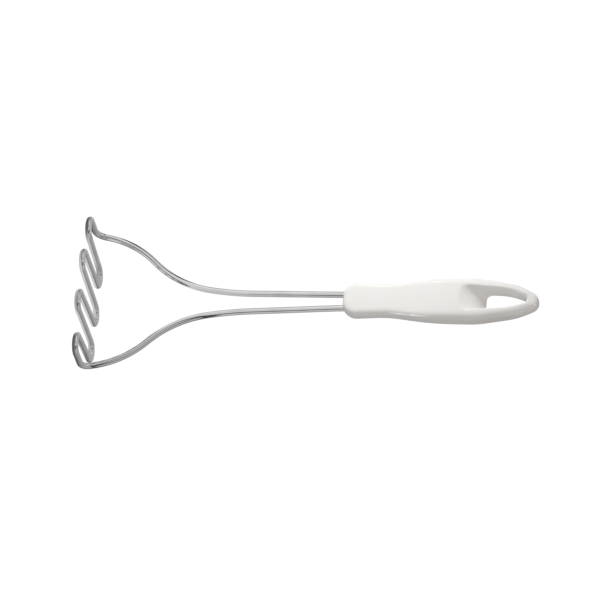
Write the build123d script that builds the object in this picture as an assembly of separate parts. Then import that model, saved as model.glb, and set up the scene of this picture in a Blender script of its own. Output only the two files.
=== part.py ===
from build123d import *
from math import acos, atan2, cos, hypot, pi, radians, sin, tan
import os

# Wire potato masher, standing upright on its mashing foot.
# Millimetres. +Z runs up the handle, the handle's top face looks towards -Y,
# and the origin is on the floor under the middle of the foot.

# The bent wire
wire_diameter = 4.0
bend_radius = 6.0                 # centre line of every turn in the foot
foot_half_width = 46.35           # from the middle to the centre line of a leg
front_depth = 31.55               # from the legs' plane to the crest of the two middle front turns
outer_front_depth = 24.55         # the same for the two outer front turns
back_depth = 23.6                 # from the legs' plane to the crest of the middle back turn
side_back_depth = 21.9            # the same for the two side back turns
side_back_turn_offset = 26.0      # from the middle to the centre of each side back turn
middle_front_turn_offset = 14.0   # from the middle to the centre of each middle front turn
ankle_radius = 6.2                # where a leg turns up out of the foot
leg_height = 159.6                # from the foot's centre line to the handle's mouth
leg_spacing = 9.4                 # between the legs' centre lines in the handle
leg_sag_depth = 1.4               # how far the legs bow back between the foot and the handle
leg_offset = 0.9                  # how far forward of the foot's leg ends they enter the handle

# Corners of a leg's line, as heights above the foot and half widths, each rounded
shoulder_height = 25.2
shoulder_half_width = 41.0
shoulder_radius = 60.0
waist_height = 55.4
waist_half_width = 11.8
waist_radius = 66.0
neck_height = 90.0
neck_half_width = 6.45
neck_radius = 200.0
parallel_length = 3.0             # the legs run parallel from this far below the mouth
parallel_radius = 90.0

# The handle's outline from its top face: half widths, each rounded, at shares of its length
handle_length = 121.0
mouth_half_width = 12.0
mouth_corner_radius = 8.5
grip_half_width = 11.0
grip_share = 0.207
grip_radius = 67.0
belly_half_width = 14.65
belly_start_share = 0.438
belly_start_radius = 160.0
belly_end_share = 0.688
belly_end_radius = 51.0
tip_shoulder_half_width = 10.0
tip_shoulder_share = 0.909
tip_shoulder_radius = 49.0
nose_half_width = 3.7
nose_radius = 6.3

# The handle's outline from the side, and the round along all its edges
handle_offset = 0.8               # from the wire in it forward to the handle's own mid-plane
mouth_half_thickness = 4.6
thin_grip_share = 0.314
belly_half_thickness = 6.45
thick_start_share = 0.529
thick_end_share = 0.727
tip_half_thickness = 5.75
thin_tip_share = 0.86
thickness_radius = 160.0
edge_radius = 4.2

# The hanging hole and the thumb scoop that leads into it, at shares of the handle's length
scoop_start_share = 0.5967
hole_start_share = 0.734
hole_shoulder_share = 0.8587
hole_end_share = 0.939
scoop_half_width = 8.8
hole_shoulder_half_width = 6.3
hole_end_half_width = 1.75
scoop_corner_radius = 5.0
hole_shoulder_radius = 43.0
hole_end_radius = 1.9
scoop_entry_angle = 12.0          # degrees down from the top face where the scoop begins
scoop_valley_radius = 3.0         # where the scoop's floor meets its walls
hole_edge_radius = 1.2            # along the rims of the scoop and the hole

# The hard core that grips the two wire ends inside the handle
core_inset = 8.0                  # from the mouth to the core
core_to_scoop = 14.2              # from the core to the start of the scoop
core_half_width = 8.2
core_half_thickness = 2.9
core_corner_radius = 1.4
end_wall = 4.0                    # core beyond the wire's ends
end_flat_length = 6.0             # the pressed end of each leg
end_flat_width = 5.4
end_flat_thickness = 2.6
moulding_gap = 0.03               # left all round where plastic is moulded on another piece

cut_overrun = 2.0
touching = 0.01                   # two things this near each other meet
room_share = 0.99                 # of an outline's side that the rounds at its two ends may take up

# Places worked out from the sizes above
wire_radius = wire_diameter / 2
leg_plane = (front_depth - back_depth) / 2
mouth_height = wire_radius + leg_height
leg_half_spacing = leg_spacing / 2
scoop_start_rise = handle_length * scoop_start_share
core_length = scoop_start_rise - core_to_scoop - core_inset
wire_end_rise = core_inset + core_length - end_wall
handle_plane = leg_plane - leg_offset - handle_offset
front_plane = Plane(origin=(0, handle_plane, mouth_height), x_dir=(1, 0, 0), z_dir=(0, -1, 0))
side_plane = Plane(origin=(0, handle_plane, mouth_height), x_dir=(0, -1, 0), z_dir=(-1, 0, 0))


def fitting_radii(points, radii):
    """The radii of a closed outline's corners, cut down where the rounds on one side would meet."""
    sides = [end - start for start, end in zip(points, points[1:] + points[:1])]
    turns = [radians(before.get_angle(after)) for before, after in zip(sides[-1:] + sides, sides)]
    takes = [radius * tan(turn / 2) for radius, turn in zip(radii, turns)]
    shares = [
        min(1, room_share * side.length / max(take + next_take, touching))
        for side, take, next_take in zip(sides, takes, takes[1:] + takes[:1])
    ]
    return [radius * min(before, after) for radius, before, after in zip(radii, shares[-1:] + shares, shares)]


def foot_point(across, forward):
    """A point of the foot's centre line, forward of the legs' plane."""
    return Vector(across, leg_plane - forward, wire_radius)


def leg_point(across, rise, advance):
    """A point of a leg's centre line, above the foot's and forward of its own foot end."""
    return Vector(across, leg_plane - advance, wire_radius + rise)


def held_point(across, rise):
    """A point in the wire's plane inside the handle, above the mouth."""
    return leg_point(across, leg_height + rise, leg_offset)


def turn_centres():
    """Centres of the foot's seven turns, from one leg to the other, as (across, forward)."""
    half = [
        (foot_half_width - bend_radius, outer_front_depth - bend_radius),
        (side_back_turn_offset, bend_radius - side_back_depth),
        (middle_front_turn_offset, front_depth - bend_radius),
    ]
    return half + [(0, bend_radius - back_depth)] + [(-across, forward) for across, forward in half[::-1]]


def run_angle(start, end):
    """The angle on a turn where its straight run to the next turn begins."""
    across = end[0] - start[0]
    forward = end[1] - start[1]
    bearing = atan2(forward, across)
    swing = acos(2 * bend_radius / hypot(across, forward))
    return min((bearing + swing, bearing - swing), key=cos)


def turn_points(centre, first, last, sense):
    """Start, middle and end of one turn. sense is 1 for a front turn and -1 for a back turn."""
    sweep_angle = (sense * (last - first)) % (2 * pi)
    angles = [first + sense * sweep_angle * share for share in (0, 1 / 2, 1)]
    return [
        foot_point(centre[0] + bend_radius * cos(angle), centre[1] + bend_radius * sin(angle))
        for angle in angles
    ]


def foot_edges():
    """The zigzag of the foot: its turns, and the straight runs between them."""
    centres = turn_centres()
    leaving = [run_angle(start, end) for start, end in zip(centres, centres[1:])]
    arriving = [0] + [angle + pi for angle in leaving]
    edges = []
    for i, (centre, first, last) in enumerate(zip(centres, arriving, leaving + [pi])):
        start, middle, end = turn_points(centre, first, last, 1 if i % 2 == 0 else -1)
        if edges:
            edges.append(Edge.make_line(edges[-1] @ 1, start))
        edges.append(Edge.make_three_point_arc(start, middle, end))
    return edges


def leg_edges(side, foot_end):
    """One leg, from the foot up into the handle. side is 1 on the right and -1 on the left."""
    points = [
        foot_end,
        leg_point(side * foot_half_width, 0, 0),
        leg_point(side * shoulder_half_width, shoulder_height, -leg_sag_depth * shoulder_height / waist_height),
        leg_point(side * waist_half_width, waist_height, -leg_sag_depth),
        leg_point(side * neck_half_width, neck_height, -leg_sag_depth),
        held_point(side * leg_half_spacing, -parallel_length),
        held_point(side * leg_half_spacing, wire_end_rise),
    ]
    radii = [ankle_radius, shoulder_radius, waist_radius, neck_radius, parallel_radius]
    return list(FilletPolyline(*points, radius=radii).edges())


def end_flats(gap=0):
    """The pressed ends of the two legs, wider than the wire, so that they can't pull out."""
    flat = Box(end_flat_width + 2 * gap, end_flat_thickness + 2 * gap, end_flat_length + 2 * gap)
    middle = held_point(0, wire_end_rise - end_flat_length / 2)
    return [Pos(middle + Vector(side * leg_half_spacing, 0, 0)) * flat for side in (1, -1)]


def make_wire():
    """Both legs and the foot, bent from one length of round wire."""
    foot = foot_edges()
    path = Wire(leg_edges(1, foot[0] @ 0) + foot + leg_edges(-1, foot[-1] @ 1))
    start = held_point(leg_half_spacing, wire_end_rise)
    section = Plane(origin=start, z_dir=(0, 0, -1)) * Circle(wire_radius)
    return sweep(section, path=path) + end_flats()


def wire_channels():
    """What the two wire ends and their flats take out of the plastic round them."""
    length = wire_end_rise + cut_overrun + moulding_gap
    channel = Cylinder(wire_radius + moulding_gap, length)
    middle = held_point(0, wire_end_rise + moulding_gap - length / 2)
    return [Pos(middle + Vector(side * leg_half_spacing, 0, 0)) * channel for side in (1, -1)]


def rounded_outline(corners, radii):
    """A face between the given corners and their mirror images, with each corner rounded."""
    points = [Vector(across, rise) for across, rise in corners]
    points += [Vector(-across, rise) for across, rise in corners[::-1]]
    radii = fitting_radii(points, radii + radii[::-1])
    return make_face(FilletPolyline(*points, radius=radii, close=True).edges())


def handle_front_face():
    """The handle as it is seen from its top face."""
    corners = [
        (mouth_half_width, 0),
        (grip_half_width, handle_length * grip_share),
        (belly_half_width, handle_length * belly_start_share),
        (belly_half_width, handle_length * belly_end_share),
        (tip_shoulder_half_width, handle_length * tip_shoulder_share),
        (nose_half_width, handle_length),
    ]
    radii = [
        mouth_corner_radius, grip_radius, belly_start_radius, belly_end_radius, tip_shoulder_radius, nose_radius,
    ]
    return rounded_outline(corners, radii)


def handle_side_face():
    """The handle as it is seen from the side, run past both its ends."""
    corners = [
        (mouth_half_thickness, -cut_overrun),
        (mouth_half_thickness, handle_length * thin_grip_share),
        (belly_half_thickness, handle_length * thick_start_share),
        (belly_half_thickness, handle_length * thick_end_share),
        (tip_half_thickness, handle_length * thin_tip_share),
        (tip_half_thickness, handle_length + cut_overrun),
    ]
    return rounded_outline(corners, [0] + 4 * [thickness_radius] + [0])


def handle_blank():
    """The handle's solid form before anything is cut from it."""
    depth = belly_half_thickness + cut_overrun
    breadth = belly_half_width + cut_overrun
    front = extrude(front_plane * handle_front_face(), depth, both=True)
    side = extrude(side_plane * handle_side_face(), breadth, both=True)
    blank = front & side
    return fillet(blank.edges().filter_by(Axis.Y, reverse=True), edge_radius)


def hole_front_face():
    """The scoop and the hanging hole as they are seen from the top face."""
    corners = [
        (scoop_half_width, scoop_start_rise),
        (hole_shoulder_half_width, handle_length * hole_shoulder_share),
        (hole_end_half_width, handle_length * hole_end_share),
    ]
    return rounded_outline(corners, [scoop_corner_radius, hole_shoulder_radius, hole_end_radius])


def hole_side_face():
    """What the scoop and the hole take away, seen from the side: a ramp that steepens into the hole."""
    start = Vector(belly_half_thickness, scoop_start_rise)
    end = Vector(-belly_half_thickness, handle_length * hole_start_share)
    entry = radians(scoop_entry_angle)
    ramp = TangentArc(start, end, tangent=(-sin(entry), cos(entry)))
    exit_way = ramp % 1
    above = belly_half_thickness + cut_overrun
    lead = start + Vector(cut_overrun, -cut_overrun / tan(entry))
    tail = end + exit_way * (cut_overrun / -exit_way.X)
    rest = Polyline(tail, (-above, handle_length), (above, handle_length), lead, start)
    return make_face(ramp.edges() + [Edge.make_line(end, tail)] + rest.edges())


def hole_cutter():
    """The solid that makes the scoop and the hole, with the valleys beside the ramp rounded."""
    front = extrude(front_plane * hole_front_face(), belly_half_thickness + cut_overrun, both=True)
    side = extrude(side_plane * hole_side_face(), belly_half_width, both=True)
    cutter = front & side
    slanting = cutter.edges().filter_by(Axis.Y, reverse=True)
    valleys = [edge for edge in slanting if abs((edge @ 1 - edge @ 0).Y) > belly_half_thickness]
    return fillet(valleys, scoop_valley_radius)


def pierced_blank():
    """The blank with the scoop and the hole in it, and their rims rounded on both faces."""
    blank = handle_blank()
    cutter = hole_cutter()
    pierced = blank - cutter
    skins = (blank.shell(), cutter.shell())
    rims = [
        edge for edge in pierced.edges()
        if all(skin.distance_to(edge @ (1 / 2)) < touching for skin in skins)
    ]
    return fillet(rims, hole_edge_radius)


def core_block(gap=0):
    """The outer form of the core."""
    block = Box(
        2 * (core_half_width + gap), 2 * (core_half_thickness + gap), core_length + 2 * gap
    )
    block = fillet(block.edges(), core_corner_radius + gap)
    return Pos(held_point(0, core_inset + core_length / 2)) * block


def make_shell():
    """The white moulded handle, with the hole, the scoop and the space that the core and wire fill."""
    return pierced_blank() - core_block(moulding_gap) - wire_channels()


def make_core():
    """The core, with the space that the wire ends fill."""
    return core_block() - wire_channels() - end_flats(moulding_gap)


os.makedirs("parts", exist_ok=True)
for name, solid in (("masher_wire", make_wire()), ("handle_shell", make_shell()), ("wire_anchor", make_core())):
    export_step(solid, f"parts/{name}.step")
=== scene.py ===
from math import acos, atan2, cos, hypot, pi, radians, sin, tan

import bpy
import numpy as np
from mathutils import Matrix, Vector


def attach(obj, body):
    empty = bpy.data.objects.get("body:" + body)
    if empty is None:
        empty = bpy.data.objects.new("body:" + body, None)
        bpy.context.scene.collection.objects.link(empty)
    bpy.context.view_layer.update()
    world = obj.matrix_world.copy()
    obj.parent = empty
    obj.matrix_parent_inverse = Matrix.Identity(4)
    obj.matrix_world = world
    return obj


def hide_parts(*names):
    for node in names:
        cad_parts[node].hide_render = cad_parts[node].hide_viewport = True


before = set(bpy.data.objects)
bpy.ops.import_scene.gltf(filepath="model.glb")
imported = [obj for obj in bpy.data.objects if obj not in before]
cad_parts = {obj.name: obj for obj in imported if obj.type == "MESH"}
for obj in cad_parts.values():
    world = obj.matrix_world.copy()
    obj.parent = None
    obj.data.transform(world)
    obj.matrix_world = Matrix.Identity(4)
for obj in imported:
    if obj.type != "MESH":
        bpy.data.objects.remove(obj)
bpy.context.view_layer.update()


# The bent wire: one length of bright round steel wire, cold bent on a former. Its middle makes
# the zigzag mashing foot, and both ends rise as the legs and run side by side into the handle,
# where they are pressed flat so that they can't pull out.

MM = 0.001
WIRE_RADIUS = 2.0
BEND_RADIUS = 6.0  # centre line of every turn in the foot
FOOT_HALF_WIDTH = 46.35
FRONT_DEPTH = 31.55  # from the legs' plane to the crest of the two middle front turns
OUTER_FRONT_DEPTH = 24.55
BACK_DEPTH = 23.6
SIDE_BACK_DEPTH = 21.9
SIDE_BACK_OFFSET = 26.0
MIDDLE_FRONT_OFFSET = 14.0
LEG_HEIGHT = 159.6
LEG_HALF_SPACING = 4.7
LEG_SAG = 1.4  # how far the legs bow back between the foot and the handle
LEG_OFFSET = 0.9  # how far forward they enter the handle
PARALLEL_LENGTH = 3.0  # they run parallel from this far below the mouth
HELD_LENGTH = 54.0  # of each leg inside the handle
NECK = (6.45, 90.0)  # a corner of a leg's line: half width, and height above the foot
WAIST = (11.8, 55.4)
SHOULDER = (41.0, 25.2)
LEG_ROUNDS = [90, 200, 66, 60, 6.2]  # from the mouth down to the ankle
PRESSED_LENGTH = 6.5
PRESSED_TAPER = 0.8
PRESSED_CHANGE = 0.7  # what pressing takes from the half thickness and adds to the half width
LEG_PLANE = (FRONT_DEPTH - BACK_DEPTH) / 2
MOUTH_HEIGHT = WIRE_RADIUS + LEG_HEIGHT
WIRE_PLANE_IN_HANDLE = LEG_PLANE - LEG_OFFSET
ROUND_STEP = 0.8  # between points on the rounds of a line
TURN_STEP = 0.5
RING_STEP = 1.0  # between the rings of the wire's skin
SURFACE_LENGTH = 100.0  # of wire for one unit of its surface map


def arc_between(centre, first, last, sense, step):
    """Points on a foot turn, as (across, forward), from angle first to angle last."""
    sweep = (sense * (last - first)) % (2 * pi)
    count = max(2, int(sweep * BEND_RADIUS / step))
    angles = [first + sense * sweep * i / count for i in range(count + 1)]
    return [(centre[0] + BEND_RADIUS * cos(a), centre[1] + BEND_RADIUS * sin(a)) for a in angles]


def rounded_line(corners, radii, step, closed=False):
    """Points along straight runs whose corners are rounded, for the legs and the handle's outlines."""
    corners = [np.array(c, float) for c in corners]
    count = len(corners)
    points = [] if closed else [corners[0]]
    for i in range(count) if closed else range(1, count - 1):
        before, corner, after = corners[i - 1], corners[i], corners[(i + 1) % count]
        radius = radii[i] if closed else radii[i - 1]
        back = (before - corner) / np.linalg.norm(before - corner)
        on = (after - corner) / np.linalg.norm(after - corner)
        half = acos(np.clip(back @ on, -1, 1)) / 2
        middle = (back + on) / np.linalg.norm(back + on)
        centre = corner + middle * radius / sin(half)
        turn = pi / 2 - half
        start = corner + back * radius / tan(half)
        arm = start - centre
        side = -back
        steps = max(2, int(2 * turn * radius / step))
        for k in range(steps + 1):
            a = 2 * turn * k / steps
            points.append(centre + arm * cos(a) + side * radius * sin(a))
    if not closed:
        points.append(corners[-1])
    return points


def leg_line(side):
    """Centre line of one leg, from its end in the handle down to where the foot's first turn starts."""
    shoulder_sag = LEG_SAG * SHOULDER[1] / WAIST[1]
    corners = [
        (side * LEG_HALF_SPACING, WIRE_PLANE_IN_HANDLE, MOUTH_HEIGHT + HELD_LENGTH),
        (side * LEG_HALF_SPACING, WIRE_PLANE_IN_HANDLE, MOUTH_HEIGHT - PARALLEL_LENGTH),
        (side * NECK[0], LEG_PLANE + LEG_SAG, WIRE_RADIUS + NECK[1]),
        (side * WAIST[0], LEG_PLANE + LEG_SAG, WIRE_RADIUS + WAIST[1]),
        (side * SHOULDER[0], LEG_PLANE + shoulder_sag, WIRE_RADIUS + SHOULDER[1]),
        (side * FOOT_HALF_WIDTH, LEG_PLANE, WIRE_RADIUS),
        (side * FOOT_HALF_WIDTH, LEG_PLANE - OUTER_FRONT_DEPTH + BEND_RADIUS, WIRE_RADIUS),
    ]
    return rounded_line(corners, LEG_ROUNDS, ROUND_STEP)


def foot_line():
    """Centre line of the zigzag, from the right leg's turn to the left leg's."""
    half = [
        (FOOT_HALF_WIDTH - BEND_RADIUS, OUTER_FRONT_DEPTH - BEND_RADIUS),
        (SIDE_BACK_OFFSET, BEND_RADIUS - SIDE_BACK_DEPTH),
        (MIDDLE_FRONT_OFFSET, FRONT_DEPTH - BEND_RADIUS),
    ]
    centres = half + [(0, BEND_RADIUS - BACK_DEPTH)] + [(-x, y) for x, y in half[::-1]]
    leaving = []
    for a, b in zip(centres, centres[1:]):
        bearing = atan2(b[1] - a[1], b[0] - a[0])
        swing = acos(2 * BEND_RADIUS / hypot(b[0] - a[0], b[1] - a[1]))
        leaving.append(min((bearing + swing, bearing - swing), key=cos))
    arriving = [0] + [a + pi for a in leaving]
    line = []
    for i, (centre, first, last) in enumerate(zip(centres, arriving, leaving + [pi])):
        line += arc_between(centre, first, last, 1 if i % 2 == 0 else -1, TURN_STEP)
    return [np.array((x, LEG_PLANE - y, WIRE_RADIUS)) for x, y in line]


def spaced(points, step):
    """The same line with points no further apart than step."""
    out = [points[0]]
    for a, b in zip(points, points[1:]):
        gap = np.linalg.norm(b - a)
        if gap < 1e-6:
            continue
        n = int(gap / step) + 1
        out += [a + (b - a) * k / n for k in range(1, n + 1)]
    return out


def wire_mesh(points, around=32):
    """A round bar along the points, pressed flat at both ends."""
    points = np.array(points)
    tangents = np.gradient(points, axis=0)
    tangents /= np.linalg.norm(tangents, axis=1)[:, None]
    lengths = np.concatenate([[0], np.cumsum(np.linalg.norm(np.diff(points, axis=0), axis=1))])
    normal = np.array((1.0, 0, 0))
    verts, faces, uvs = [], [], []
    for p, t, s in zip(points, tangents, lengths):
        normal = normal - t * (normal @ t)
        normal /= np.linalg.norm(normal)
        other = np.cross(t, normal)
        pressed = PRESSED_CHANGE * np.clip((PRESSED_LENGTH - min(s, lengths[-1] - s)) / PRESSED_TAPER, 0, 1)
        wide, thin = WIRE_RADIUS + pressed, WIRE_RADIUS - pressed
        for k in range(around):
            a = 2 * pi * k / around
            verts.append((p + normal * wide * cos(a) + other * thin * sin(a)) * MM)
    rings = len(points)
    for i in range(rings - 1):
        for k in range(around):
            j = (k + 1) % around
            faces.append((i * around + k, i * around + j, (i + 1) * around + j, (i + 1) * around + k))
            u0, u1 = k / around, (k + 1) / around
            v0, v1 = lengths[i] / SURFACE_LENGTH, lengths[i + 1] / SURFACE_LENGTH
            uvs += [(u0, v0), (u1, v0), (u1, v1), (u0, v1)]
    for first in (0, (rings - 1) * around):
        cap = list(range(first, first + around))
        faces.append(cap[::-1] if first == 0 else cap)
        uvs += [(0, 0)] * around
    mesh = bpy.data.meshes.new("bent_wire")
    mesh.from_pydata(verts, [], faces)
    layer = mesh.uv_layers.new(name="wire_surface")
    layer.data.foreach_set("uv", np.array(uvs, float).ravel())
    mesh.polygons.foreach_set("use_smooth", [True] * len(mesh.polygons))
    mesh.update()
    return mesh


right_leg = spaced(leg_line(1), RING_STEP)
zigzag = spaced(foot_line(), RING_STEP)
left_leg = spaced(leg_line(-1), RING_STEP)[::-1]
bent_wire = bpy.data.objects.new("bent_wire", wire_mesh(right_leg[:-1] + zigzag + left_leg[1:]))
bpy.context.scene.collection.objects.link(bent_wire)


def fine_wear_group():
    """Faint smudges and tiny pits from making and washing up, at the size that each piece asks for."""
    group = bpy.data.node_groups.new("fine_wear", "ShaderNodeTree")
    face = group.interface
    face.new_socket(name="Place", in_out="INPUT", socket_type="NodeSocketVector")
    face.new_socket(name="Smudge Scale", in_out="INPUT", socket_type="NodeSocketFloat").default_value = 60
    face.new_socket(name="Grain Scale", in_out="INPUT", socket_type="NodeSocketFloat").default_value = 900
    face.new_socket(name="Smudge", in_out="OUTPUT", socket_type="NodeSocketFloat")
    face.new_socket(name="Grain", in_out="OUTPUT", socket_type="NodeSocketFloat")
    start, end = group.nodes.new("NodeGroupInput"), group.nodes.new("NodeGroupOutput")
    smudge = group.nodes.new("ShaderNodeTexNoise")
    smudge.inputs["Detail"].default_value = 4
    grain = group.nodes.new("ShaderNodeTexNoise")
    grain.inputs["Detail"].default_value = 2
    for noise, scale in ((smudge, "Smudge Scale"), (grain, "Grain Scale")):
        group.links.new(start.outputs["Place"], noise.inputs["Vector"])
        group.links.new(start.outputs[scale], noise.inputs["Scale"])
    soft = group.nodes.new("ShaderNodeMapRange")
    soft.inputs["From Min"].default_value = 0.35
    soft.inputs["From Max"].default_value = 0.7
    group.links.new(smudge.outputs["Fac"], soft.inputs["Value"])
    group.links.new(soft.outputs["Result"], end.inputs["Smudge"])
    group.links.new(grain.outputs["Fac"], end.inputs["Grain"])
    return group


fine_wear = fine_wear_group()


def steel_wire_finish():
    """Bright drawn wire: near mirror, with fine drawing lines along it and a little dulling."""
    mat = bpy.data.materials.new("bright_steel_wire")
    mat.use_nodes = True
    nodes, links = mat.node_tree.nodes, mat.node_tree.links
    steel = nodes["Principled BSDF"]
    steel.inputs["Metallic"].default_value = 1.0
    uv = nodes.new("ShaderNodeUVMap")
    uv.uv_map = "wire_surface"
    stretch = nodes.new("ShaderNodeMapping")
    stretch.inputs["Scale"].default_value = (14, 3.0, 1)
    lines = nodes.new("ShaderNodeTexNoise")
    lines.inputs["Scale"].default_value = 2.0
    lines.inputs["Detail"].default_value = 5
    links.new(uv.outputs["UV"], stretch.inputs["Vector"])
    links.new(stretch.outputs["Vector"], lines.inputs["Vector"])
    place = nodes.new("ShaderNodeTexCoord")
    wear = nodes.new("ShaderNodeGroup")
    wear.node_tree = fine_wear
    wear.inputs["Smudge Scale"].default_value = 90
    wear.inputs["Grain Scale"].default_value = 1400
    links.new(place.outputs["Object"], wear.inputs["Place"])
    tone = nodes.new("ShaderNodeMix")
    tone.data_type = "RGBA"
    tone.inputs["A"].default_value = (0.84, 0.84, 0.835, 1)
    tone.inputs["B"].default_value = (0.74, 0.74, 0.735, 1)
    links.new(wear.outputs["Smudge"], tone.inputs["Factor"])
    links.new(tone.outputs["Result"], steel.inputs["Base Color"])
    rough = nodes.new("ShaderNodeMapRange")
    rough.inputs["To Min"].default_value = 0.04
    rough.inputs["To Max"].default_value = 0.12
    links.new(lines.outputs["Fac"], rough.inputs["Value"])
    links.new(rough.outputs["Result"], steel.inputs["Roughness"])
    bump = nodes.new("ShaderNodeBump")
    bump.inputs["Strength"].default_value = 0.1
    bump.inputs["Distance"].default_value = 0.00005
    links.new(lines.outputs["Fac"], bump.inputs["Height"])
    links.new(bump.outputs["Normal"], steel.inputs["Normal"])
    return mat


bent_wire.data.materials.append(steel_wire_finish())
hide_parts("masher_wire")
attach(bent_wire, "root")


# The inner core: a hard plastic block moulded round the two pressed wire ends. It keeps them
# apart and stops them turning. The white handle is moulded over it, so none of it shows.


def core_finish():
    """Hard filled plastic as it comes from the mould, dull and a little speckled."""
    mat = bpy.data.materials.new("inner_core")
    mat.use_nodes = True
    nodes, links = mat.node_tree.nodes, mat.node_tree.links
    plastic = nodes["Principled BSDF"]
    place = nodes.new("ShaderNodeTexCoord")
    wear = nodes.new("ShaderNodeGroup")
    wear.node_tree = fine_wear
    wear.inputs["Smudge Scale"].default_value = 120
    wear.inputs["Grain Scale"].default_value = 2200
    links.new(place.outputs["Object"], wear.inputs["Place"])
    tone = nodes.new("ShaderNodeMix")
    tone.data_type = "RGBA"
    tone.inputs["A"].default_value = (0.60, 0.59, 0.56, 1)
    tone.inputs["B"].default_value = (0.50, 0.49, 0.46, 1)
    links.new(wear.outputs["Smudge"], tone.inputs["Factor"])
    links.new(tone.outputs["Result"], plastic.inputs["Base Color"])
    rough = nodes.new("ShaderNodeMapRange")
    rough.inputs["To Min"].default_value = 0.5
    rough.inputs["To Max"].default_value = 0.7
    links.new(wear.outputs["Grain"], rough.inputs["Value"])
    links.new(rough.outputs["Result"], plastic.inputs["Roughness"])
    bump = nodes.new("ShaderNodeBump")
    bump.inputs["Strength"].default_value = 0.3
    bump.inputs["Distance"].default_value = 0.0002
    links.new(wear.outputs["Grain"], bump.inputs["Height"])
    links.new(bump.outputs["Normal"], plastic.inputs["Normal"])
    return mat


wire_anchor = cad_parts["wire_anchor"]
wire_anchor.data.materials.clear()
wire_anchor.data.materials.append(core_finish())


# The handle: one glossy white moulding, shot over the core. It is flat on top, full and round
# along both sides, and its end is pierced by the hanging hole, with the thumb's scoop before it.

HANDLE_OFFSET = 0.8  # from the wire in it forward to the handle's own mid-plane
HANDLE_PLANE = WIRE_PLANE_IN_HANDLE - HANDLE_OFFSET
SCOOP_START = 72.9  # along the handle from its mouth, as all places on it
SCOOP_BOW = 3.2  # how much later it starts along the hole's sides
SCOOP_SLOPE = radians(28)
SCOOP_HALF_WIDTH = 8.6
LIP_START = 88.0
LIP_SLOPE = radians(60)
LIP_ROUND = 6.5

# corners as half width and place along the handle
HANDLE_CORNERS = [(11.8, 0), (10.5, 28), (14.3, 55), (14.4, 83.3), (9.9, 110), (3.7, 121)]
HANDLE_ROUNDS = [9, 67, 160, 51, 49, 6.3]
HOLE_CORNERS = [(SCOOP_HALF_WIDTH, SCOOP_START), (7.4, 87), (6.15, 103.9), (2.0, 113.9)]
HOLE_ROUNDS = [4.0, 30, 40, 2.0]
HOLE_DRAFT = 0.06

# how far the two faces lie from the mid-plane, and how square the edges are between them
FACE_PLACES = [0, 26, 38, 50, 64, 72, 84, 96, 104, 112, 121]
TOP_HEIGHTS = [4.6, 4.6, 4.72, 5.4, 6.3, 6.45, 6.4, 6.1, 5.75, 4.9, 2.6]
BACK_HEIGHTS = [4.6, 4.6, 4.72, 5.4, 6.3, 6.45, 6.4, 6.3, 6.1, 5.9, 5.6]
BELLY_HALF_THICKNESS = 6.45
BELLY_HALF_WIDTH = 14.65
SIDE_FALL = 0.7  # how much thinner it is at its widest than along its middle
EDGE_ROUND_SHARE = 0.92
FULLNESS_PLACES = [60, 84, 104, 116]
FULLNESS = [2.6, 3.2, 3.2, 2.6]  # 2 makes a round edge

VALLEY_ROUNDS = (4.5, 1.6)  # at the back face and at the top face
BACK_RIM_ROUND = 4.0
TOP_RIM_PLACES = (76, 86)
TOP_RIM_ROUNDS = (1.5, 1.1)

SKIN_CELL = 0.6
SKIN_BOX = ((-16, -8.3, -1.7), (16.3, 8.3, 123.2))  # across, up and along, round the whole handle


def mirrored_outline(corners, rounds):
    """The closed line through right-hand corners and their mirror images, each rounded."""
    both = corners + [(-x, s) for x, s in corners[::-1]]
    return np.array(rounded_line(both, rounds + rounds[::-1], ROUND_STEP, closed=True))


handle_outline = mirrored_outline(HANDLE_CORNERS, HANDLE_ROUNDS)
hole_outline = mirrored_outline(HOLE_CORNERS, HOLE_ROUNDS)


def depth_in_outline(outline, x, s):
    """Distance from points (x, s) to a mirrored outline, negative inside it."""
    right = outline[outline[:, 0] > -1e-9]
    a, b = right[:-1], right[1:]
    along = b - a
    square = np.maximum((along ** 2).sum(1), 1e-12)
    x = np.abs(x)
    best = np.full(x.shape, 1e9)
    for (ax, ay), (dx, dy), q in zip(a, along, square):
        t = np.clip(((x - ax) * dx + (s - ay) * dy) / q, 0, 1)
        best = np.minimum(best, (x - ax - t * dx) ** 2 + (s - ay - t * dy) ** 2)
    ends = (right[:, 1].min(), right[:, 1].max())
    best = np.minimum(best, np.where(x < right[right[:, 1].argmin(), 0], (s - ends[0]) ** 2, 1e9))
    best = np.minimum(best, np.where(x < right[right[:, 1].argmax(), 0], (s - ends[1]) ** 2, 1e9))
    order = np.argsort(right[:, 1], kind="stable")
    inside = (x < np.interp(s, right[order, 1], right[order, 0])) & (s > ends[0]) & (s < ends[1])
    return np.where(inside, -np.sqrt(best), np.sqrt(best))


def soft_max(a, b, size):
    """The larger of two depths, with the crease between them rounded."""
    near = np.maximum(size - np.abs(a - b), 0) / size
    return np.maximum(a, b) + near * near * size / 4


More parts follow.
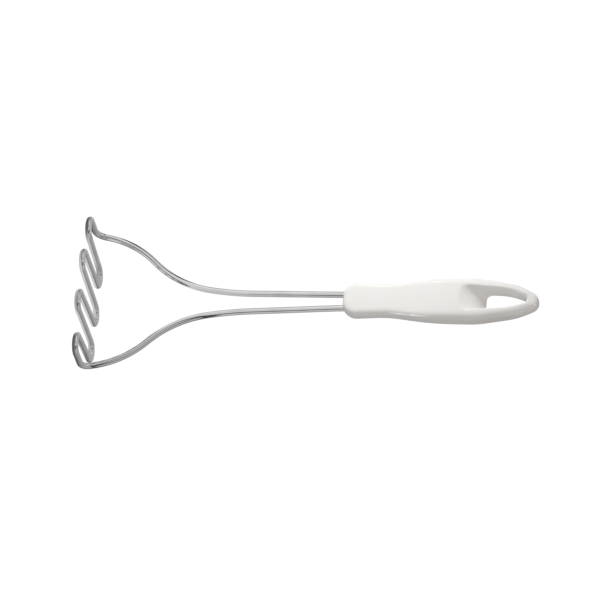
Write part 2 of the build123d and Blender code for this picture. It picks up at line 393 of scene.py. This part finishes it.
def handle_depth(x, t, s):
    """Distance to the handle's skin, negative inside it. t is measured up from its mid-plane."""
    top = np.interp(s, FACE_PLACES, TOP_HEIGHTS)
    under = np.interp(s, FACE_PLACES, BACK_HEIGHTS)
    thick = (top + under) / 2 - SIDE_FALL * (x / BELLY_HALF_WIDTH) ** 2
    edge = depth_in_outline(handle_outline, x, s)
    edge_round = EDGE_ROUND_SHARE * thick
    fullness = np.interp(s, FULLNESS_PLACES, FULLNESS)
    side = np.maximum(edge + edge_round, 0)
    flat = np.maximum(np.abs(t - (top - under) / 2) - (thick - edge_round), 0)
    body = (side ** fullness + flat ** fullness) ** (1 / fullness) - edge_round
    bowed = s - SCOOP_START - SCOOP_BOW * np.minimum(np.abs(x / SCOOP_HALF_WIDTH) ** 3, 1)
    dish = bowed * sin(SCOOP_SLOPE) + (t - BELLY_HALF_THICKNESS) * cos(SCOOP_SLOPE)
    lip_top = BELLY_HALF_THICKNESS - (LIP_START - SCOOP_START) * tan(SCOOP_SLOPE)
    lip = (s - LIP_START) * sin(LIP_SLOPE) + (t - lip_top) * cos(LIP_SLOPE)
    ramp = -soft_max(dish, lip, LIP_ROUND)
    valley = np.interp(t, (-BELLY_HALF_THICKNESS, BELLY_HALF_THICKNESS), VALLEY_ROUNDS)
    top_rim = np.interp(s, TOP_RIM_PLACES, TOP_RIM_ROUNDS)
    rim = top_rim + (BACK_RIM_ROUND - top_rim) * np.clip(0.5 - t / BELLY_HALF_THICKNESS / 2, 0, 1)
    hole = depth_in_outline(hole_outline, x, s) + HOLE_DRAFT * (BELLY_HALF_THICKNESS - t)
    return soft_max(body, -soft_max(hole, ramp, valley), rim)


def skin_mesh(depth, low, high, cell):
    """The closed skin where depth is zero: one point in each cell that it crosses, then drawn onto it."""
    counts = [int((h - l) / cell) + 1 for l, h in zip(low, high)]
    axes = [l + cell * np.arange(n) for l, n in zip(low, counts)]
    grid = np.meshgrid(*axes, indexing="ij")
    value = depth(*grid)
    inside = value < 0
    total = np.zeros([n - 1 for n in counts] + [3])
    crossings = np.zeros([n - 1 for n in counts])
    for axis in range(3):
        lead = [slice(None)] * 3
        lag = [slice(None)] * 3
        lead[axis], lag[axis] = slice(1, None), slice(None, -1)
        a, b = value[tuple(lag)], value[tuple(lead)]
        hit = (a < 0) != (b < 0)
        share = np.where(hit, a / np.where(hit, a - b, 1), 0)
        where = np.stack([g[tuple(lag)] for g in grid], -1)
        where[..., axis] += share * cell
        others = [k for k in range(3) if k != axis]
        for i in (0, 1):
            for j in (0, 1):
                cut = [slice(None)] * 3
                cut[others[0]] = slice(i, i + counts[others[0]] - 1)
                cut[others[1]] = slice(j, j + counts[others[1]] - 1)
                part = hit[tuple(cut)]
                total += np.where(part[..., None], where[tuple(cut)], 0)
                crossings += part
    used = crossings > 0
    index = np.full(used.shape, -1)
    index[used] = np.arange(used.sum())
    points = total[used] / crossings[used][:, None]
    faces = []
    for axis in range(3):
        lead = [slice(None)] * 3
        lag = [slice(None)] * 3
        lead[axis], lag[axis] = slice(1, None), slice(None, -1)
        hit = inside[tuple(lag)] != inside[tuple(lead)]
        cells = np.argwhere(hit)
        p, q = [k for k in range(3) if k != axis]
        cells = cells[(cells[:, p] > 0) & (cells[:, q] > 0)]
        cells = cells[(cells[:, p] < counts[p] - 1) & (cells[:, q] < counts[q] - 1)]
        corners = []
        for i, j in ((1, 1), (0, 1), (0, 0), (1, 0)):
            c = cells.copy()
            c[:, p] -= i
            c[:, q] -= j
            corners.append(index[c[:, 0], c[:, 1], c[:, 2]])
        quads = np.stack(corners, 1)
        outward = inside[tuple(lag)][tuple(cells.T)]
        if axis == 1:
            outward = ~outward
        quads[~outward] = quads[~outward][:, ::-1]
        faces.append(quads)
    tiny, least_slope = 0.02, 0.05
    for _ in range(3):
        here = depth(*points.T)
        slope = np.stack([(depth(*(points + tiny * np.eye(3)[k]).T) - here) / tiny for k in range(3)], 1)
        points = points - slope * (here / np.maximum((slope ** 2).sum(1), least_slope))[:, None]
    return points, np.concatenate(faces)


points, quads = skin_mesh(handle_depth, *SKIN_BOX, SKIN_CELL)
across, up, along = points.T
placed = np.stack([across, HANDLE_PLANE - up, MOUTH_HEIGHT + along], 1) * MM
mesh = bpy.data.meshes.new("moulded_handle")
mesh.from_pydata(placed.tolist(), [], quads[:, ::-1].tolist())
mesh.polygons.foreach_set("use_smooth", [True] * len(mesh.polygons))
mesh.update()
moulded_handle = bpy.data.objects.new("moulded_handle", mesh)
bpy.context.scene.collection.objects.link(moulded_handle)


def white_moulding_finish():
    """Glossy white plastic with a faint warm tone, slight flow mottling and a soft, fine skin."""
    mat = bpy.data.materials.new("white_moulding")
    mat.use_nodes = True
    nodes, links = mat.node_tree.nodes, mat.node_tree.links
    plastic = nodes["Principled BSDF"]
    plastic.inputs["IOR"].default_value = 1.49
    place = nodes.new("ShaderNodeTexCoord")
    wear = nodes.new("ShaderNodeGroup")
    wear.node_tree = fine_wear
    wear.inputs["Smudge Scale"].default_value = 35
    wear.inputs["Grain Scale"].default_value = 1500
    links.new(place.outputs["Object"], wear.inputs["Place"])
    tone = nodes.new("ShaderNodeMix")
    tone.data_type = "RGBA"
    tone.inputs["A"].default_value = (0.868, 0.864, 0.851, 1)
    tone.inputs["B"].default_value = (0.85, 0.843, 0.828, 1)
    links.new(wear.outputs["Smudge"], tone.inputs["Factor"])
    links.new(tone.outputs["Result"], plastic.inputs["Base Color"])
    rough = nodes.new("ShaderNodeMapRange")
    rough.inputs["To Min"].default_value = 0.15
    rough.inputs["To Max"].default_value = 0.22
    links.new(wear.outputs["Smudge"], rough.inputs["Value"])
    links.new(rough.outputs["Result"], plastic.inputs["Roughness"])
    bump = nodes.new("ShaderNodeBump")
    bump.inputs["Strength"].default_value = 0.12
    bump.inputs["Distance"].default_value = 0.00005
    links.new(wear.outputs["Grain"], bump.inputs["Height"])
    links.new(bump.outputs["Normal"], plastic.inputs["Normal"])
    return mat


moulded_handle.data.materials.append(white_moulding_finish())
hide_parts("handle_shell")
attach(moulded_handle, "root")


# The studio: a white floor that the masher stands on and white surroundings. Bright wire shows
# only what it mirrors, so it gets pale walls all round, with darker gaps between and below them.


def grey_ramp(nodes, stops):
    """A colour ramp of plain greys, from (place, tone) pairs."""
    ramp = nodes.new("ShaderNodeValToRGB")
    while len(ramp.color_ramp.elements) < len(stops):
        ramp.color_ramp.elements.new(0.5)
    for stop, (where, tone) in zip(ramp.color_ramp.elements, stops):
        stop.position = where
        stop.color = (tone, tone, tone, 1)
    return ramp


def mirrored_walls_group():
    """How bright the surroundings are in the wire's reflections, by the direction from the masher."""
    group = bpy.data.node_groups.new("mirrored_walls", "ShaderNodeTree")
    face = group.interface
    face.new_socket(name="Direction", in_out="INPUT", socket_type="NodeSocketVector")
    face.new_socket(name="Tone", in_out="OUTPUT", socket_type="NodeSocketFloat")
    start, end = group.nodes.new("NodeGroupInput"), group.nodes.new("NodeGroupOutput")
    unit = group.nodes.new("ShaderNodeVectorMath")
    unit.operation = "NORMALIZE"
    group.links.new(start.outputs["Direction"], unit.inputs[0])
    turn = group.nodes.new("ShaderNodeTexGradient")
    turn.gradient_type = "RADIAL"
    group.links.new(unit.outputs["Vector"], turn.inputs["Vector"])
    split = group.nodes.new("ShaderNodeSeparateXYZ")
    group.links.new(unit.outputs["Vector"], split.inputs["Vector"])
    # from the left wall round past the camera, the right wall and the back, to the left again
    round_about = [
        (0.0, 0.42), (0.05, 0.42), (0.08, 0.95), (0.18, 0.95), (0.21, 0.60), (0.26, 0.60), (0.29, 0.82),
        (0.34, 0.82), (0.36, 0.14), (0.43, 0.14), (0.45, 0.60), (0.54, 0.64), (0.60, 0.42), (0.74, 0.42),
        (0.80, 0.68), (0.88, 0.62), (0.92, 0.80), (1.0, 0.42),
    ]
    up = [(0.0, 1.0), (0.01, 0.15), (0.11, 0.15), (0.17, 1.0)]
    ramps = []
    for stops, source in ((round_about, turn.outputs["Fac"]), (up, split.outputs["Z"])):
        ramp = grey_ramp(group.nodes, stops)
        group.links.new(source, ramp.inputs["Fac"])
        ramps.append(ramp)
    both = group.nodes.new("ShaderNodeMath")
    both.operation = "MULTIPLY"
    group.links.new(ramps[0].outputs["Color"], both.inputs[0])
    group.links.new(ramps[1].outputs["Color"], both.inputs[1])
    # higher up, an even pale grey is mixed in
    high = group.nodes.new("ShaderNodeMapRange")
    high.inputs["From Min"].default_value = 0.15
    high.inputs["From Max"].default_value = 0.40
    high.inputs["To Max"].default_value = 0.35
    group.links.new(split.outputs["Z"], high.inputs["Value"])
    ceiling = group.nodes.new("ShaderNodeMix")
    ceiling.data_type = "FLOAT"
    ceiling.inputs["B"].default_value = 0.58
    group.links.new(high.outputs["Result"], ceiling.inputs["Factor"])
    group.links.new(both.outputs["Value"], ceiling.inputs["A"])
    group.links.new(ceiling.outputs["Result"], end.inputs["Tone"])
    return group


mirrored_walls = mirrored_walls_group()


def white_floor():
    """A large white sheet under the foot."""
    half_size = 6.0
    count = 12
    places = np.linspace(-half_size, half_size, count + 1)
    corners = [(i, i + 1, i + count + 2, i + count + 1) for i in range(count * (count + 1))]
    faces = [face for face in corners if face[0] % (count + 1) < count]
    mesh = bpy.data.meshes.new("floor")
    mesh.from_pydata([(x, y, 0) for y in places for x in places], [], faces)
    floor = bpy.data.objects.new("floor", mesh)
    bpy.context.scene.collection.objects.link(floor)
    mat = bpy.data.materials.new("white_floor")
    mat.use_nodes = True
    nodes, links = mat.node_tree.nodes, mat.node_tree.links
    paper = nodes["Principled BSDF"]
    paper.inputs["Base Color"].default_value = (0.9, 0.9, 0.9, 1)
    paper.inputs["Roughness"].default_value = 0.9
    ray = nodes.new("ShaderNodeLightPath")

    # seen by the camera it is white, with the masher's shadow showing faintly through
    glow = nodes.new("ShaderNodeEmission")
    glow.inputs["Strength"].default_value = 1.1
    seen = nodes.new("ShaderNodeMath")
    seen.operation = "MULTIPLY"
    seen.inputs[1].default_value = 0.9
    links.new(ray.outputs["Is Camera Ray"], seen.inputs[0])
    white = nodes.new("ShaderNodeMixShader")
    links.new(seen.outputs["Value"], white.inputs["Fac"])
    links.new(paper.outputs["BSDF"], white.inputs[1])
    links.new(glow.outputs["Emission"], white.inputs[2])

    # in the wire's reflections the floor glows with a painted reflection: pale under the foot, a painted
    # dark ring of shade round that, and far off the walls' tone
    place = nodes.new("ShaderNodeTexCoord")
    walls = nodes.new("ShaderNodeGroup")
    walls.node_tree = mirrored_walls
    links.new(place.outputs["Object"], walls.inputs["Direction"])
    distance = nodes.new("ShaderNodeVectorMath")
    distance.operation = "LENGTH"
    links.new(place.outputs["Object"], distance.inputs[0])
    far = nodes.new("ShaderNodeMapRange")
    far.inputs["From Min"].default_value = 0.08
    far.inputs["From Max"].default_value = 0.60
    links.new(distance.outputs["Value"], far.inputs["Value"])
    tone = nodes.new("ShaderNodeMix")
    tone.data_type = "FLOAT"
    # painted shade: a dark ring round the foot that only the wire's reflections show
    near = grey_ramp(nodes, [(0.030, 0.70), (0.042, 0.14), (0.062, 0.14), (0.074, 0.72)])
    links.new(distance.outputs["Value"], near.inputs["Fac"])
    links.new(near.outputs["Color"], tone.inputs["A"])
    links.new(far.outputs["Result"], tone.inputs["Factor"])
    links.new(walls.outputs["Tone"], tone.inputs["B"])
    # the floor's painted reflection, a glow that only glossy rays see
    painted_floor_reflection = nodes.new("ShaderNodeEmission")
    links.new(tone.outputs["Result"], painted_floor_reflection.inputs["Color"])
    mix = nodes.new("ShaderNodeMixShader")
    links.new(ray.outputs["Is Glossy Ray"], mix.inputs["Fac"])
    links.new(white.outputs["Shader"], mix.inputs[1])
    links.new(painted_floor_reflection.outputs["Emission"], mix.inputs[2])
    links.new(mix.outputs["Shader"], nodes["Material Output"].inputs["Surface"])
    floor.data.materials.append(mat)
    return floor


white_floor()

world = bpy.data.worlds.new("white_surroundings")
bpy.context.scene.world = world
world.use_nodes = True
nodes, links = world.node_tree.nodes, world.node_tree.links
direction = nodes.new("ShaderNodeTexCoord")

# the light that falls on the masher is a little stronger from the camera's side, and weaker from above
lean = nodes.new("ShaderNodeVectorMath")
lean.operation = "DOT_PRODUCT"
lean.inputs[1].default_value = (0.30, -0.36, -0.32)
links.new(direction.outputs["Generated"], lean.inputs[0])
level_of = nodes.new("ShaderNodeMath")
level_of.operation = "ADD"
level_of.inputs[1].default_value = 0.55
links.new(lean.outputs["Value"], level_of.inputs[0])
fill = nodes["Background"]
fill.inputs["Color"].default_value = (1, 0.971, 0.947, 1)
links.new(level_of.outputs["Value"], fill.inputs["Strength"])

walls = nodes.new("ShaderNodeGroup")
walls.node_tree = mirrored_walls
links.new(direction.outputs["Generated"], walls.inputs["Direction"])
mirrored_room = nodes.new("ShaderNodeBackground")
mirrored_room.inputs["Strength"].default_value = 0.8
links.new(walls.outputs["Tone"], mirrored_room.inputs["Color"])

clear = nodes.new("ShaderNodeBackground")
clear.inputs["Color"].default_value = (1, 1, 1, 1)
ray = nodes.new("ShaderNodeLightPath")
lit = nodes.new("ShaderNodeMixShader")
links.new(ray.outputs["Is Glossy Ray"], lit.inputs["Fac"])
links.new(fill.outputs["Background"], lit.inputs[1])
links.new(mirrored_room.outputs["Background"], lit.inputs[2])
mix = nodes.new("ShaderNodeMixShader")
links.new(ray.outputs["Is Camera Ray"], mix.inputs["Fac"])
links.new(lit.outputs["Shader"], mix.inputs[1])
links.new(clear.outputs["Background"], mix.inputs[2])
links.new(mix.outputs["Shader"], nodes["World Output"].inputs["Surface"])


def soft_light(name, place, target, width, height, power):
    """A soft light panel that faces target, out of the camera's sight."""
    lamp = bpy.data.lights.new(name, "AREA")
    lamp.shape = "RECTANGLE"
    lamp.size = width
    lamp.size_y = height
    lamp.energy = power
    panel = bpy.data.objects.new(name, lamp)
    panel.location = place
    panel.rotation_euler = (Vector(target) - Vector(place)).to_track_quat("-Z", "Y").to_euler()
    panel.visible_camera = False
    bpy.context.scene.collection.objects.link(panel)
    return panel


# a low panel beyond the handle's far side, a small card under the handle's mouth, and two lamps whose
# light is kept to the handle: one for the thin line of gloss on its near side, one for that at its tip
far_side_light = soft_light("far_side_light", (-0.55, -0.385, 0.10), (0, 0, 0.18), 0.3, 0.11, 0.40)
far_side_light.visible_glossy = False
far_side_light.data.spread = radians(55)
mouth_card = soft_light("mouth_card", (0, -0.045, 0.004), (0, 0, 0.16), 0.12, 0.05, 0.005)
mouth_card.visible_glossy = False
handle_gloss = bpy.data.collections.new("handle_gloss")
handle_gloss.objects.link(moulded_handle)
near_glint = soft_light("near_glint", (0.40, -0.26, 0.038), (0.011, -0.0015, 0.205), 0.06, 0.02, 0.0015)
near_glint.data.spread = radians(12)
tip_glint = soft_light("tip_glint", (0.077, -0.065, 0.681), (0.003, 0, 0.28), 0.24, 0.04, 0.5)
for glint in (near_glint, tip_glint):
    glint.visible_diffuse = False
    glint.light_linking.receiver_collection = handle_gloss


# The camera: it looks down on the handle's flat top from the foot's right, with the masher lying
# across the picture, as in the photograph.

aim = Vector((-0.000526, 0.002288, 0.134692))
distance = 3.06
azimuth, elevation, roll = radians(27.877), radians(9.36), radians(90.292)
back = Vector((sin(azimuth) * cos(elevation), -cos(azimuth) * cos(elevation), sin(elevation)))
level = Vector((cos(azimuth), sin(azimuth), 0))
rise = back.cross(level)
right = level * cos(roll) + rise * sin(roll)
upward = back.cross(right)
lens = bpy.data.cameras.new("camera")
lens.sensor_width = 36
lens.lens = 298.3
lens.clip_end = 40
camera = bpy.data.objects.new("camera", lens)
turn = Matrix((right, upward, back)).transposed().to_4x4()
camera.matrix_world = Matrix.Translation(aim + back * distance) @ turn
bpy.context.scene.collection.objects.link(camera)
bpy.context.scene.camera = camera

bpy.context.scene.view_settings.view_transform = "Standard"
